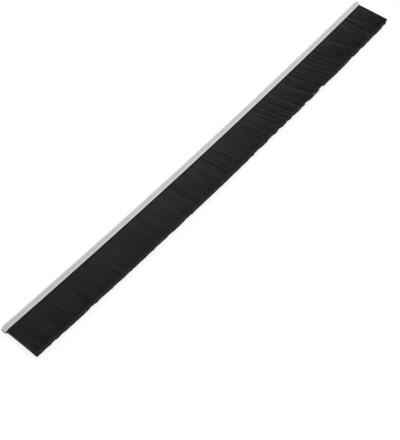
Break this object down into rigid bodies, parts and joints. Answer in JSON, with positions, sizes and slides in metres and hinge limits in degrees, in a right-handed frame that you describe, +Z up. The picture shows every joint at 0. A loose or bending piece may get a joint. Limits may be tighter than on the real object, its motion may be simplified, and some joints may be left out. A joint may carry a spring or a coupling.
{
  "type": "letterbox draught excluder brush strip",
  "caption": "Strip brush that seals a letter slot against draughts: black fibres folded over a wire, pinched in a thin bright metal channel and trimmed to an even edge.",
  "frame": {"origin": "middle of the channel's flat underside, on the surface that the strip lies on", "axes": "+X along the strip, +Y from the channel's back towards the fibre tips, +Z up"},
  "size_m": [0.3402, 0.03, 0.0046],
  "materials": {
    "channel_sheet": "satin galvanised sheet with a fine rolling grain",
    "wire_steel": "dull drawn wire with sheared ends",
    "black_fibre": "black extruded fibres with a soft sheen"
  },
  "bodies": {
    "root": {"channel": "channel_sheet", "core_wire": "wire_steel", "bristle_fill": "black_fibre"}
  },
  "joints": []
}
